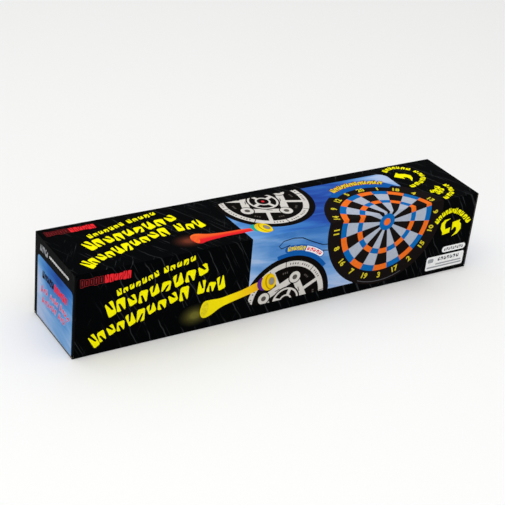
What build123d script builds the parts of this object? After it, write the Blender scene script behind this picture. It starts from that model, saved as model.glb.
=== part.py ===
"""Boxed magnetic dartboard set: a tuck-end carton that holds a rolled, double-sided board and six darts.

The origin is the centre of the carton's underside. +X runs along the carton, -Y is its front and +Z is up.
Millimetres.
"""

import math
import os

from build123d import *

os.makedirs("parts", exist_ok=True)

# Carton
carton_length = 520.0
carton_width = 100.0
carton_height = 100.0
board = 1.2  # thickness of the carton board
crease_radius = 0.8  # outside radius of a folded crease
slip = 0.3  # gap between boards that lie on each other
glue_flap_width = 18.0
glue_flap_length = 500.0
glue_flap_taper = 5.0  # how much each end of the glue flap leans in

# End closures
flap_inset = 0.3  # how far an end flap stays inside the front and back panels
tongue_length = 14.0
tongue_width = 92.0
tongue_tilt = 10.0  # degrees that a tucked tongue rises from its crease
tongue_corner = 6.0
dust_flap_length = 44.0
dust_flap_low = 5.0
dust_flap_high = 97.0
dust_flap_slope = 0.6  # fall of the upper edge per millimetre of length
dust_flap_rise = 0.09  # rise of the lower edge per millimetre of length
dust_flap_corner = 6.0

# Rolled board: a round sheet with a header tab, rolled about X
sheet_thickness = 1.6
disc_radius = 235.0
tab_length = 30.0
tab_half_width = 50.0
roll_radius = 45.2  # middle of the outermost half turn
roll_step = 1.2  # each half turn is this much smaller than the last
half_turns = 4
outline_steps = 16  # points along the edge of a half turn
eyelet_spread = 42.0  # from the middle of the tab to each eyelet
eyelet_along = 14.0  # from the tab's free edge to the eyelets
eyelet_bore = 2.0
eyelet_barrel = 2.5
eyelet_flange = 4.5
eyelet_flange_thickness = 0.4
hole_play = 0.1
flange_play = 0.3  # lets a flat flange clear the curve inside the roll
header_gap = 0.05
header_thickness = 0.9
header_start = 1.0
header_end = 31.0

# Darts, all with their axes along X
dart_length = 150.0
bulb_radius = 17.0
bulb_length = 22.0
bulb_rounding = 6.0
magnet_radius = 9.0
magnet_thickness = 3.0
magnet_play = 0.05
collar_length = 16.0
collar_wide_radius = 13.0
collar_narrow_radius = 8.5
tenon_radius = 5.0
tenon_play = 0.05
tail_neck_radius = 6.7
tail_end_radius = 16.0
tail_dish_radius = 13.0
tail_dish_depth = 3.0
dart_tip_x = 205.0  # from the middle of the carton to the tips
core_radius = 40.8  # free radius inside the innermost half turn
dart_play = 0.4

# Rules leaflet, leaning across the lower front corner
leaflet_length = 148.0
leaflet_width = 34.0
leaflet_thickness = 1.2
leaflet_distance = 47.3  # from the roll's axis to the middle of the leaflet

# Worked out from the sizes above
half_length = carton_length / 2
half_width = carton_width / 2
sleeve_middle = carton_height / 2
end_x = half_length - board - slip  # outer face of the dust flaps
tongue_crease_z = board + slip
sheet_length = 2 * disc_radius + tab_length
roll_z = board + slip + roll_radius + sheet_thickness / 2


def save(piece, name):
    """Labels a finished piece and writes its STEP file."""
    piece.label = name
    export_step(piece, f"parts/{name}.step")


# ---------------------------------------------------------------- carton sleeve
with BuildPart() as sleeve:
    with BuildSketch(Plane.YZ):
        with Locations((0, sleeve_middle)):
            RectangleRounded(carton_width, carton_height, crease_radius)
            Rectangle(carton_width - 2 * board, carton_height - 2 * board, mode=Mode.SUBTRACT)
    extrude(amount=half_length, both=True)

# The four panels part on the diagonals through the long creases
rising = Plane(origin=(0, 0, sleeve_middle), z_dir=(0, -1, 1))
falling = Plane(origin=(0, 0, sleeve_middle), z_dir=(0, 1, 1))
# Each end crease is cut on its diagonal too. The normals point at the panel, away from its flap.
top_crease = Plane(origin=(-half_length, 0, carton_height), z_dir=(1, 0, 1))
front_crease = Plane(origin=(-end_x, -half_width, 0), z_dir=(1, -1, 0))
tongue_crease = Plane(origin=(-half_length, 0, tongue_crease_z), z_dir=(-1, 0, 1))


def other_end(plane):
    """The same cutting plane at the +X end."""
    origin, normal = plane.origin, plane.z_dir
    return Plane(origin=(-origin.X, origin.Y, origin.Z), z_dir=(-normal.X, normal.Y, normal.Z))


with BuildPart() as top_panel:
    add(sleeve.part)
    split(bisect_by=rising, keep=Keep.TOP)
    split(bisect_by=falling, keep=Keep.TOP)
    with BuildSketch(Plane.XZ):
        with Locations((0, sleeve_middle)):
            RectangleRounded(carton_length, carton_height, crease_radius)
    extrude(amount=carton_width, both=True, mode=Mode.INTERSECT)
    split(bisect_by=top_crease, keep=Keep.TOP)
    split(bisect_by=other_end(top_crease), keep=Keep.TOP)
save(top_panel.part, "top_panel")

with BuildPart() as bottom_panel:
    add(sleeve.part)
    split(bisect_by=rising, keep=Keep.BOTTOM)
    split(bisect_by=falling, keep=Keep.BOTTOM)
save(bottom_panel.part, "bottom_panel")

with BuildPart() as front_panel:
    add(sleeve.part)
    split(bisect_by=rising, keep=Keep.TOP)
    split(bisect_by=falling, keep=Keep.BOTTOM)
    with BuildSketch(Plane.XY):
        RectangleRounded(2 * end_x, carton_width, crease_radius)
    extrude(amount=carton_height, mode=Mode.INTERSECT)
    split(bisect_by=front_crease, keep=Keep.TOP)
    split(bisect_by=other_end(front_crease), keep=Keep.TOP)
save(front_panel.part, "front_panel")

with BuildPart() as back_panel:
    mirror(front_panel.part, about=Plane.XZ)
save(back_panel.part, "back_panel")

# The seam: a strip folded up from the bottom panel and glued inside the back panel
with BuildPart() as glue_flap:
    with BuildSketch(Plane.XZ.offset(-(half_width - board))):
        long_half = glue_flap_length / 2
        short_half = long_half - glue_flap_taper
        Polygon(
            (-long_half, board),
            (long_half, board),
            (short_half, board + glue_flap_width),
            (-short_half, board + glue_flap_width),
            align=None,
        )
    extrude(amount=board)
save(glue_flap.part, "glue_flap")

# ---------------------------------------------------------------- end closures
with BuildPart() as end_flap:
    with BuildSketch(Plane.YZ.offset(-half_length)):
        with Locations((0, (tongue_crease_z + carton_height) / 2)):
            Rectangle(carton_width - 2 * flap_inset, carton_height - tongue_crease_z)
    extrude(amount=board)
    fillet(end_flap.edges().filter_by(Axis.Y).group_by(Axis.X)[0], radius=crease_radius)
    split(bisect_by=top_crease, keep=Keep.BOTTOM)
    split(bisect_by=tongue_crease, keep=Keep.TOP)

tilt = math.radians(tongue_tilt)
with BuildPart() as tuck_tongue:
    tongue_plane = Plane(
        origin=(-half_length, 0, tongue_crease_z),
        x_dir=(math.cos(tilt), 0, math.sin(tilt)),
        z_dir=(-math.sin(tilt), 0, math.cos(tilt)),
    )
    with BuildSketch(tongue_plane):
        with Locations((tongue_length / 2, 0)):
            Rectangle(tongue_length, tongue_width)
        fillet(vertices().group_by(Axis.X)[-1], radius=tongue_corner)
    extrude(amount=board)
    fillet(tuck_tongue.edges().filter_by(Axis.Y).sort_by(Axis.X)[0], radius=crease_radius)
    split(bisect_by=tongue_crease, keep=Keep.BOTTOM)

with BuildPart() as front_dust_flap:
    with BuildSketch(Plane.YZ.offset(-end_x)):
        free_edge = dust_flap_length - half_width
        Polygon(
            (-half_width, dust_flap_low),
            (free_edge, dust_flap_low + dust_flap_rise * dust_flap_length),
            (free_edge, dust_flap_high - dust_flap_slope * dust_flap_length),
            (-half_width, dust_flap_high),
            align=None,
        )
        fillet(vertices().group_by(Axis.Y)[-1], radius=dust_flap_corner)
    extrude(amount=board)
    fillet(
        front_dust_flap.edges().filter_by(Axis.Z).group_by(Axis.Y)[0].sort_by(Axis.X)[0],
        radius=crease_radius,
    )
    split(bisect_by=front_crease, keep=Keep.BOTTOM)

with BuildPart() as back_dust_flap:
    mirror(front_dust_flap.part, about=Plane.XZ)

for name, piece in (
    ("end_flap", end_flap.part),
    ("tuck_tongue", tuck_tongue.part),
    ("front_dust_flap", front_dust_flap.part),
    ("back_dust_flap", back_dust_flap.part),
):
    save(piece, f"left_{name}")
    with BuildPart() as right_piece:
        mirror(piece, about=Plane.YZ)
    save(right_piece.part, f"right_{name}")


# ---------------------------------------------------------------- rolled board
def sheet_half_width(along):
    """Half the sheet's width at a distance along it from the tab's free edge."""
    from_middle = along - tab_length - disc_radius
    disc = math.sqrt(max(disc_radius**2 - from_middle**2, 0))
    return max(disc, tab_half_width) if along < tab_length + disc_radius else disc


def half_turn(index):
    """One half turn of the rolled sheet, from the outermost inwards, cut to the sheet's outline.

    Even half turns lie on the +Y side and run down, odd ones on the -Y side and run up."""
    radius = roll_radius - index * roll_step
    side = 1 if index % 2 == 0 else -1
    middle = roll_z if side == 1 else roll_z - roll_step
    start = math.pi * sum(roll_radius - before * roll_step for before in range(index))
    turn = min(math.pi, (sheet_length - start) / radius)
    edge = [
        (sheet_half_width(start + radius * turn * step / outline_steps),
         middle + side * radius * math.cos(turn * step / outline_steps))
        for step in range(outline_steps + 1)
    ]
    first_z = edge[0][1] + side * sheet_thickness
    last_z = edge[-1][1] - side * sheet_thickness
    with BuildPart() as half:
        with BuildSketch(Plane.YZ):
            with Locations((0, middle)):
                Circle(radius + sheet_thickness / 2)
                Circle(radius - sheet_thickness / 2, mode=Mode.SUBTRACT)
            with Locations((-side * carton_width / 2, middle)):
                Rectangle(carton_width, carton_width, mode=Mode.SUBTRACT)
        extrude(amount=disc_radius + 1, both=True)
        with BuildSketch(Plane.XZ):
            with BuildLine():
                right_edge = Spline(*edge)
                if edge[-1][0] > sheet_thickness:
                    lead_out = Polyline(edge[-1], (edge[-1][0], last_z), (-edge[-1][0], last_z),
                                        (-edge[-1][0], edge[-1][1]))
                left_edge = Spline(*[(-x, z) for x, z in edge])
                Polyline((-edge[0][0], edge[0][1]), (-edge[0][0], first_z), (edge[0][0], first_z), edge[0])
            make_face()
        extrude(amount=carton_width, both=True, mode=Mode.INTERSECT)
    return half.part


eyelet_turn = eyelet_along / roll_radius  # radians from the top of the roll


def eyelet_plane(side):
    """The plane across an eyelet's axis, where the axis meets the roll's outer face."""
    outward = Vector(0, math.sin(eyelet_turn), math.cos(eyelet_turn))
    origin = Vector(side * eyelet_spread, 0, roll_z) + outward * (roll_radius + sheet_thickness / 2)
    return Plane(origin=origin, x_dir=(1, 0, 0), z_dir=outward)


with BuildPart() as dartboard_sheet:
    for index in range(half_turns):
        add(half_turn(index))
    for side in (-1, 1):
        with BuildSketch(eyelet_plane(side)):
            Circle(eyelet_barrel + hole_play)
        extrude(amount=-(sheet_thickness + roll_step / 2), mode=Mode.SUBTRACT)
save(dartboard_sheet.part, "dartboard_sheet")

header_inner = roll_radius + sheet_thickness / 2 + header_gap
with BuildPart() as header_strip:
    with BuildSketch(Plane.YZ):
        with BuildLine():
            begin = 90 - math.degrees(header_start / roll_radius)
            finish = 90 - math.degrees(header_end / roll_radius)
            inner = CenterArc((0, roll_z), header_inner, finish, begin - finish)
            outer = CenterArc((0, roll_z), header_inner + header_thickness, finish, begin - finish)
            Line(inner @ 0, outer @ 0)
            Line(inner @ 1, outer @ 1)
        make_face()
    extrude(amount=tab_half_width, both=True)
    for side in (-1, 1):
        with BuildSketch(eyelet_plane(side)):
            Circle(eyelet_barrel + hole_play)
        extrude(amount=2 * header_thickness, both=True, mode=Mode.SUBTRACT)
save(header_strip.part, "header_strip")

# Eyelets: a barrel through the strip and the sheet, with a flange on each side
barrel_low = -(sheet_thickness + flange_play)
barrel_high = header_gap + header_thickness + hole_play
for side, name in ((-1, "left_eyelet"), (1, "right_eyelet")):
    face = eyelet_plane(side)
    with BuildPart() as eyelet:
        with BuildSketch(face.offset(barrel_low)):
            Circle(eyelet_barrel)
        extrude(amount=barrel_high - barrel_low)
        with BuildSketch(face.offset(barrel_high), face.offset(barrel_low - eyelet_flange_thickness)):
            Circle(eyelet_flange)
        extrude(amount=eyelet_flange_thickness)
        with BuildSketch(face.offset(-2 * sheet_thickness)):
            Circle(eyelet_bore)
        extrude(amount=4 * sheet_thickness, mode=Mode.SUBTRACT)
    save(eyelet.part, name)

# ---------------------------------------------------------------- darts
# One dart is drawn with its tip at the origin and its tail towards +X
collar_end = bulb_length + collar_length

with BuildPart() as bulb:
    with BuildSketch(Plane.XZ):
        with Locations((bulb_length / 2, bulb_radius / 2)):
            Rectangle(bulb_length, bulb_radius)
        fillet(vertices().group_by(Axis.Y)[-1], radius=bulb_rounding)
        with Locations((magnet_thickness / 2, 0)):
            Rectangle(magnet_thickness, 2 * (magnet_radius + magnet_play), mode=Mode.SUBTRACT)
    revolve(axis=Axis.X)

with BuildPart() as magnet:
    with BuildSketch(Plane.YZ):
        Circle(magnet_radius)
    extrude(amount=magnet_thickness)
    chamfer(magnet.edges().group_by(Axis.X)[0], length=0.5)

with BuildPart() as collar:
    with BuildSketch(Plane.XZ):
        Polygon(
            (bulb_length, tenon_radius + tenon_play),
            (bulb_length, collar_wide_radius),
            (collar_end, collar_narrow_radius),
            (collar_end, tenon_radius + tenon_play),
            align=None,
        )
    revolve(axis=Axis.X)
    tail_side = collar.edges().filter_by(GeomType.CIRCLE).group_by(Axis.X)[-1]
    fillet(tail_side.sort_by(SortBy.RADIUS)[-1], radius=1)

with BuildPart() as tail:
    with BuildSketch(Plane.XZ):
        with BuildLine():
            flare = Spline(
                (collar_end, tail_neck_radius),
                (collar_end + 0.45 * (dart_length - collar_end), tail_neck_radius + 2),
                (dart_length - 14, tail_end_radius - 1.5),
                (dart_length - 2, tail_end_radius),
                tangents=[(1, 0), (1, 0.05)],
            )
            Polyline(
                flare @ 1,
                (dart_length, tail_end_radius - 1.5),
                (dart_length, tail_dish_radius),
                (dart_length - tail_dish_depth, 0),
                (bulb_length, 0),
                (bulb_length, tenon_radius),
                (collar_end, tenon_radius),
                flare @ 0,
            )
        make_face()
    revolve(axis=Axis.X)

# Two darts lie side by side on the inner wall and the third on top of them, one set at each end
core_z = roll_z - roll_step
side_y = bulb_radius + dart_play
low_z = core_z - math.sqrt((core_radius - bulb_radius - dart_play) ** 2 - side_y**2)
high_z = low_z + math.sqrt(3) * side_y
nest = [(-side_y, low_z), (side_y, low_z), (0, high_z)]

for end in (-1, 1):
    for place, (y, z) in enumerate(nest):
        number = place + 1 if end == -1 else place + 4
        for name, piece in (
            ("bulb", bulb.part),
            ("magnet", magnet.part),
            ("collar", collar.part),
            ("tail", tail.part),
        ):
            with BuildPart() as placed:
                with Locations(Location((end * dart_tip_x, y, z), (0, 0, 0 if end == -1 else 180))):
                    add(piece)
            save(placed.part, f"dart_{number}_{name}")

# ---------------------------------------------------------------- rules leaflet
lean = Vector(0, -1, -1).normalized()
with BuildPart() as rules_leaflet:
    with BuildSketch(
        Plane(origin=Vector(0, 0, roll_z) + lean * leaflet_distance, x_dir=(1, 0, 0), z_dir=lean)
    ):
        Rectangle(leaflet_length, leaflet_width)
    extrude(amount=leaflet_thickness / 2, both=True)
save(rules_leaflet.part, "rules_leaflet")
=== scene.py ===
"""Boxed magnetic dartboard set: printed carton, rolled board, darts and leaflet.

Places are in metres on the frame. Print layouts and folded sheets are in millimetres."""

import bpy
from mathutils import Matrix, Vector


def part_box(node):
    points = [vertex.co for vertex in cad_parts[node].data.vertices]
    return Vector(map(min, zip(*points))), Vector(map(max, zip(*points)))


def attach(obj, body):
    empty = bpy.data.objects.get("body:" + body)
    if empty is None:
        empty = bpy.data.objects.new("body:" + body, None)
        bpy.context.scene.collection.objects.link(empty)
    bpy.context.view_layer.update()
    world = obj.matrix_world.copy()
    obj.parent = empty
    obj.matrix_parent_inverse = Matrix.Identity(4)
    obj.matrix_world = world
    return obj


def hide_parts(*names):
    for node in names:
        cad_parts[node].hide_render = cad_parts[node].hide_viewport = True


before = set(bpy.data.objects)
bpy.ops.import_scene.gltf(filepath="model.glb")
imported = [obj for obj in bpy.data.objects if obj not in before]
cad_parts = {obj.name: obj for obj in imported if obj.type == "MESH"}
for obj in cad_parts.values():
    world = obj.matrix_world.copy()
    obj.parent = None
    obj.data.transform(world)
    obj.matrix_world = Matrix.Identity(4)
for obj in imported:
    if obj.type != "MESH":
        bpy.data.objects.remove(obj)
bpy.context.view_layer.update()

import math

import bmesh
import bpy
from mathutils import Matrix, Vector
from mathutils.geometry import delaunay_2d_cdt

MM = 0.001
CARTON_LENGTH = 520.0
CARTON_SIDE = 100.0
BOARD = 1.2  # thickness of the carton board
CREASE = 0.8  # outside radius of a folded crease
SLIP = 0.3  # gap between boards that lie on each other
PRINT_MAP = "print_sheet"  # UV map that holds the flat print layout, in metres
FLOOD_BLACK, SCRATCH_GREY = "#030405", "#6E7173"


# ---------------------------------------------------------------- studio
def add_object(name, data):
    """A new object, put into the scene."""
    made = bpy.data.objects.new(name, data)
    bpy.context.collection.objects.link(made)
    return made


def set_camera():
    camera = add_object("camera", bpy.data.cameras.new("camera"))
    bpy.context.scene.camera = camera
    camera.data.lens = 92.9
    camera.data.sensor_width = 36
    camera.data.clip_end = 50
    turn, rise, roll = math.radians(-33.963), math.radians(29.086), math.radians(6.235)
    ahead = Vector((-math.sin(turn) * math.cos(rise), math.cos(turn) * math.cos(rise), -math.sin(rise)))
    level = Vector((math.cos(turn), math.sin(turn), 0))
    upright = level.cross(ahead)
    across = level * math.cos(roll) + upright * math.sin(roll)
    up = upright * math.cos(roll) - level * math.sin(roll)
    turned = Matrix((across, up, -ahead)).transposed().to_4x4()
    camera.matrix_world = Matrix.Translation((-0.7355, -1.0641, 0.7640)) @ turned


def softbox(name, place, aim, size, power):
    lamp = add_object(name, bpy.data.lights.new(name, "AREA"))
    lamp.data.size = size
    lamp.data.energy = power
    lamp.location = place
    lamp.rotation_euler = (Vector(aim) - Vector(place)).to_track_quat("-Z", "Y").to_euler()


def set_studio():
    """A white paper floor, two softboxes, and a sky that dims towards the horizon so the blacks stay deep."""
    scene = bpy.context.scene
    scene.view_settings.view_transform = "Standard"
    world = bpy.data.worlds.new("studio")
    scene.world = world
    world.use_nodes = True
    tree = world.node_tree
    aim = tree.nodes.new("ShaderNodeTexCoord")
    height = tree.nodes.new("ShaderNodeSeparateXYZ")
    rise = tree.nodes.new("ShaderNodeMapRange")
    for socket, value in (("From Min", 0.35), ("From Max", 0.85), ("To Min", 0.40), ("To Max", 1.02)):
        rise.inputs[socket].default_value = value
    tree.links.new(height.inputs[0], aim.outputs["Generated"])
    tree.links.new(rise.inputs["Value"], height.outputs["Z"])
    tree.links.new(tree.nodes["Background"].inputs["Strength"], rise.outputs["Result"])
    tree.nodes["Background"].inputs["Color"].default_value = (1, 1, 1, 1)
    softbox("softbox_overhead", (-0.3, -0.2, 1.9), (0, 0, 0), 1.6, 9)
    softbox("softbox_front", (-1.0, -1.7, 1.0), (0, 0, 0.05), 1.2, 7)
    mesh = bpy.data.meshes.new("studio_floor")
    reach, drop = 40, 0.0002  # the floor's half size, and the gap that keeps it off the carton's underside
    mesh.from_pydata([(x * reach, y * reach, -drop) for x, y in ((-1, -1), (1, -1), (1, 1), (-1, 1))], [],
                     [(0, 1, 2, 3)])
    floor = add_object("studio_floor", mesh)
    paper = new_material("seamless_paper")
    shader = add_node(paper, "BsdfPrincipled", {"Base Color": linear("#F7F7F6"), "Roughness": 0.9,
                                               "Specular IOR Level": 0.1})
    finish_material(paper, shader)
    mesh.materials.append(paper)


# ---------------------------------------------------------------- finishes
def linear(hex_colour):
    """An sRGB hex colour as linear red, green, blue and alpha."""
    parts = [int(hex_colour[place:place + 2], 16) / 255 for place in (1, 3, 5)]
    return (*(part / 12.92 if part <= 0.04045 else ((part + 0.055) / 1.055) ** 2.4 for part in parts), 1)


def new_material(name):
    material = bpy.data.materials.new(name)
    material.use_nodes = True
    material.node_tree.nodes.clear()
    return material


def add_node(material, kind, values=None, links=None, stops=None, **fields):
    """Adds a shader node with its fields, socket values, links and colour stops."""
    made = material.node_tree.nodes.new("ShaderNode" + kind)
    for field, value in fields.items():
        setattr(made, field, value)
    for socket, value in (values or {}).items():
        made.inputs[socket].default_value = value
    for socket, source in (links or {}).items():
        material.node_tree.links.new(made.inputs[socket], source)
    if stops:
        ramp = made.color_ramp
        while len(ramp.elements) < len(stops):
            ramp.elements.new(1.0)
        for element, (place, colour) in zip(ramp.elements, stops):
            element.position = place
            element.color = linear(colour)
    return made


def finish_material(material, shader):
    add_node(material, "OutputMaterial", links={"Surface": shader.outputs["BSDF"]})
    return material


def print_place(material):
    """The place on the flat print, in millimetres: x along the carton, y down the wrap."""
    flat = add_node(material, "UVMap", uv_map=PRINT_MAP)
    return add_node(material, "VectorMath", {1: (1000, 1000, 0)}, {0: flat.outputs["UV"]},
                    operation="MULTIPLY").outputs[0]


def turned_place(material, place, degrees, along, across):
    """The print place turned, then counted in lengths of one stroke and widths of one stroke."""
    turn = add_node(material, "VectorRotate", {"Angle": math.radians(degrees)}, {"Vector": place},
                    rotation_type="Z_AXIS")
    return add_node(material, "VectorMath", {1: (1 / along, 1 / across, 0)}, {0: turn.outputs[0]},
                    operation="MULTIPLY").outputs[0]


def distance_from(material, place, middle, reach):
    """How far the print place is from a middle, counted in the reach across and the reach down."""
    away = add_node(material, "VectorMath", {1: (-middle[0], -middle[1], 0)}, {0: place}, operation="ADD")
    scaled = add_node(material, "VectorMath", {1: (1 / reach[0], 1 / reach[1], 0)}, {0: away.outputs[0]},
                      operation="MULTIPLY")
    return add_node(material, "VectorMath", links={0: scaled.outputs[0]}, operation="LENGTH").outputs["Value"]


def varnish(material, colour_from, roughness=0.36, grain=0.02):
    """Offset ink under a thin aqueous varnish: the ink's colour, a soft sheen and the board's faint tooth.

    The tooth is about 0.2 mm on real board and is drawn at 1.2 mm so that it shows."""
    place = print_place(material)
    tooth = add_node(material, "TexNoise", {"Scale": 1 / 1.2, "Detail": 2.0}, {"Vector": place})
    raised = add_node(material, "Bump", {"Strength": grain, "Distance": 0.0004}, {"Height": tooth.outputs[0]})
    sheen = add_node(material, "MapRange", {"To Min": roughness - 0.05, "To Max": roughness + 0.07},
                     {"Value": tooth.outputs[0]})
    shader = add_node(material, "BsdfPrincipled", {"IOR": 1.48, "Specular IOR Level": 0.006},
                      {"Base Color": colour_from, "Roughness": sheen.outputs[0], "Normal": raised.outputs[0]})
    return finish_material(material, shader)


def solid_ink(name, colour, mottle=0.06):
    """A solid ink. Print mottle of a few millimetres lightens and darkens it slightly."""
    material = new_material(name)
    place = print_place(material)
    cloud = add_node(material, "TexNoise", {"Scale": 1 / 3.5, "Detail": 3.0}, {"Vector": place})
    weight = add_node(material, "MapRange", {"From Min": 0.3, "From Max": 0.7, "To Min": 0.0, "To Max": 1.0},
                      {"Value": cloud.outputs[0]})
    red, green, blue, _ = linear(colour)
    low = tuple(part * (1 - mottle) for part in (red, green, blue)) + (1,)
    high = tuple(min(part * (1 + mottle), 1) for part in (red, green, blue)) + (1,)
    mixed = add_node(material, "Mix", {6: low, 7: high}, {0: weight.outputs[0]}, data_type="RGBA")
    return varnish(material, mixed.outputs[2])


def scuffed_ground(name, slants, strength, grain=0.0):
    """Solid black flood ink with the artwork's printed scratches: thin grey strokes, each set at its own slant.

    slants are (degrees, stroke length, stroke width, rarity). grain is the strength of long wavering lines
    16 mm apart, which come and go in patches and leave the first 20 mm of the print plain."""
    material = new_material(name)
    place = print_place(material)
    colour = None
    for number, (degrees, along, across, rarity) in enumerate(slants):
        stroke_place = turned_place(material, place, degrees, along, across)
        shifted = add_node(material, "VectorMath", {1: (number * 31.7, number * 17.3, 0)}, {0: stroke_place},
                           operation="ADD")
        scratch = add_node(material, "TexNoise", {"Scale": 1.0, "Detail": 1.0, "Roughness": 0.4,
                                                  "Distortion": 0.35}, {"Vector": shifted.outputs[0]})
        mask = add_node(material, "MapRange", {"From Min": rarity, "From Max": rarity + 0.07,
                                               "To Max": strength}, {"Value": scratch.outputs[0]})
        under = {6: linear(FLOOD_BLACK)} if colour is None else {}
        links = {0: mask.outputs[0]} if colour is None else {0: mask.outputs[0], 6: colour}
        mixed = add_node(material, "Mix", {7: linear(SCRATCH_GREY), **under}, links, data_type="RGBA")
        colour = mixed.outputs[2]
    if grain:
        combed = add_node(material, "TexWave", {"Scale": 0.314, "Distortion": 2.4, "Detail": 2.0,
                                                "Detail Scale": 1.5},
                          {"Vector": turned_place(material, place, -63, 16, 16)}, wave_type="BANDS",
                          bands_direction="Y")
        thin = add_node(material, "MapRange", {"From Min": 0.98, "From Max": 1.0, "To Max": grain},
                        {"Value": combed.outputs[1]})
        patches = add_node(material, "TexNoise", {"Scale": 1 / 26, "Detail": 1.0}, {"Vector": place})
        patchy = add_node(material, "MapRange", {"From Min": 0.40, "From Max": 0.58},
                          {"Value": patches.outputs[0]})
        along = add_node(material, "SeparateXYZ", links={0: place})
        begun = add_node(material, "MapRange", {"From Min": 20, "From Max": 60}, {"Value": along.outputs["X"]})
        shown = add_node(material, "Math", links={0: patchy.outputs[0], 1: begun.outputs[0]},
                         operation="MULTIPLY")
        weight = add_node(material, "Math", links={0: thin.outputs[0], 1: shown.outputs[0]},
                          operation="MULTIPLY")
        lined = add_node(material, "Mix", {7: linear(SCRATCH_GREY)}, {0: weight.outputs[0], 6: colour},
                         data_type="RGBA")
        colour = lined.outputs[2]
    return varnish(material, colour)


def sky_print(name, stops, middle, spread, pale_at, pale_reach, paling):
    """A printed sky: deep blue that pales away from its middle and towards one more place, with brushed cloud
    streaks about 58 mm long."""
    material = new_material(name)
    place = print_place(material)
    distance = distance_from(material, place, middle, spread)
    streaks = add_node(material, "TexNoise", {"Scale": 1.0, "Detail": 3.0, "Roughness": 0.5, "Distortion": 0.5},
                       {"Vector": turned_place(material, place, -8, 58, 13)})
    streaked = add_node(material, "MapRange", {"From Min": 0.3, "From Max": 0.72, "To Min": -0.17,
                                               "To Max": 0.19}, {"Value": streaks.outputs[0]})
    total = add_node(material, "Math", links={0: distance, 1: streaked.outputs[0]}, operation="ADD")
    from_pale = add_node(material, "VectorMath", {1: (pale_at[0], pale_at[1], 0)}, {0: place},
                         operation="DISTANCE")
    paler = add_node(material, "MapRange", {"From Min": 0.0, "From Max": pale_reach, "To Min": paling,
                                            "To Max": 0.0}, {"Value": from_pale.outputs["Value"]})
    everything = add_node(material, "Math", links={0: total.outputs[0], 1: paler.outputs[0]}, operation="ADD")
    colours = add_node(material, "ValToRGB", links={"Fac": everything.outputs[0]}, stops=stops)
    return varnish(material, colours.outputs["Color"])


def shaded_ink(name, start, end, stops):
    """Process ink that shades evenly from one place on the print to another."""
    material = new_material(name)
    place = print_place(material)
    run = Vector((end[0] - start[0], end[1] - start[1], 0))
    along = run / run.length_squared
    away = add_node(material, "VectorMath", {1: (-start[0], -start[1], 0)}, {0: place}, operation="ADD")
    share = add_node(material, "VectorMath", {1: along}, {0: away.outputs[0]}, operation="DOT_PRODUCT")
    colours = add_node(material, "ValToRGB", links={"Fac": share.outputs["Value"]}, stops=stops)
    return varnish(material, colours.outputs["Color"])


def between(first, second, share):
    """The hex colour that is that share of the way from the first to the second."""
    parts = [round(int(first[place:place + 2], 16) * (1 - share) + int(second[place:place + 2], 16) * share)
             for place in (1, 3, 5)]
    return "#" + "".join(f"{part:02X}" for part in parts)


def fading_trail(name, middle, reach, colour):
    """The blurred trail printed behind a flying dart: a smudge that fades into the black all round."""
    material = new_material(name)
    distance = distance_from(material, print_place(material), middle, reach)
    fade = [(0.2 + 0.76 * share, between(colour, FLOOD_BLACK, share ** 0.8))
            for share in (0.2, 0.4, 0.6, 0.8, 1.0)]
    colours = add_node(material, "ValToRGB", links={"Fac": distance},
                       stops=[(0.0, colour), (0.2, colour)] + fade)
    return varnish(material, colours.outputs["Color"])


def grey_board(name, colour):
    """Unprinted cartonboard, matt and slightly warm, with recycled-fibre flecks that are drawn at 1.5 mm."""
    material = new_material(name)
    place = print_place(material)
    fibres = add_node(material, "TexNoise", {"Scale": 1 / 1.5, "Detail": 6.0, "Roughness": 0.7},
                      {"Vector": place})
    red, green, blue, _ = linear(colour)
    dark = (red * 0.78, green * 0.76, blue * 0.72, 1)
    mixed = add_node(material, "Mix", {6: dark, 7: (red, green, blue, 1)}, {0: fibres.outputs[0]},
                     data_type="RGBA")
    raised = add_node(material, "Bump", {"Strength": 0.15, "Distance": 0.0002}, {"Height": fibres.outputs[0]})
    shader = add_node(material, "BsdfPrincipled", {"IOR": 1.5, "Specular IOR Level": 0.15, "Roughness": 0.92},
                      {"Base Color": mixed.outputs[2], "Normal": raised.outputs[0]})
    return finish_material(material, shader)


# ---------------------------------------------------------------- print shapes, in millimetres, y down
def around(middle, radius, degrees):
    """The point at that radius, degrees clockwise from the top."""
    angle = math.radians(degrees)
    return (middle[0] + radius * math.sin(angle), middle[1] - radius * math.cos(angle))


def turned_point(middle, x, y, degrees):
    """The point x across and y down from the middle, turned about it clockwise."""
    angle = math.radians(degrees)
    return (middle[0] + x * math.cos(angle) - y * math.sin(angle),
            middle[1] + x * math.sin(angle) + y * math.cos(angle))


def arc(middle, radius, first, last, step=5.0):
    count = max(2, math.ceil(abs(last - first) / step))
    return [around(middle, radius, first + (last - first) * number / count) for number in range(count + 1)]


def disc(middle, radius, step=6.0):
    return arc(middle, radius, 0, 360, step)[:-1]


def ring_piece(middle, inner, outer, first, last, step=5.0):
    return arc(middle, outer, first, last, step) + arc(middle, inner, last, first, step)


def oval(middle, half_wide, half_high, turn=0.0, step=15.0):
    """An oval, turned clockwise by degrees."""
    angles = [math.radians(number * step) for number in range(round(360 / step))]
    return [turned_point(middle, half_wide * math.cos(angle), half_high * math.sin(angle), turn)
            for angle in angles]


def stroke(path, width):
    """A line of even width along a path of points."""
    left, right = [], []
    for number, point in enumerate(path):
        before = Vector(path[max(number - 1, 0)])
        after = Vector(path[min(number + 1, len(path) - 1)])
        sideways = Vector((before.y - after.y, after.x - before.x)).normalized() * (width / 2)
        left.append((point[0] + sideways.x, point[1] + sideways.y))
        right.append((point[0] - sideways.x, point[1] - sideways.y))
    return left + right[::-1]


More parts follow.
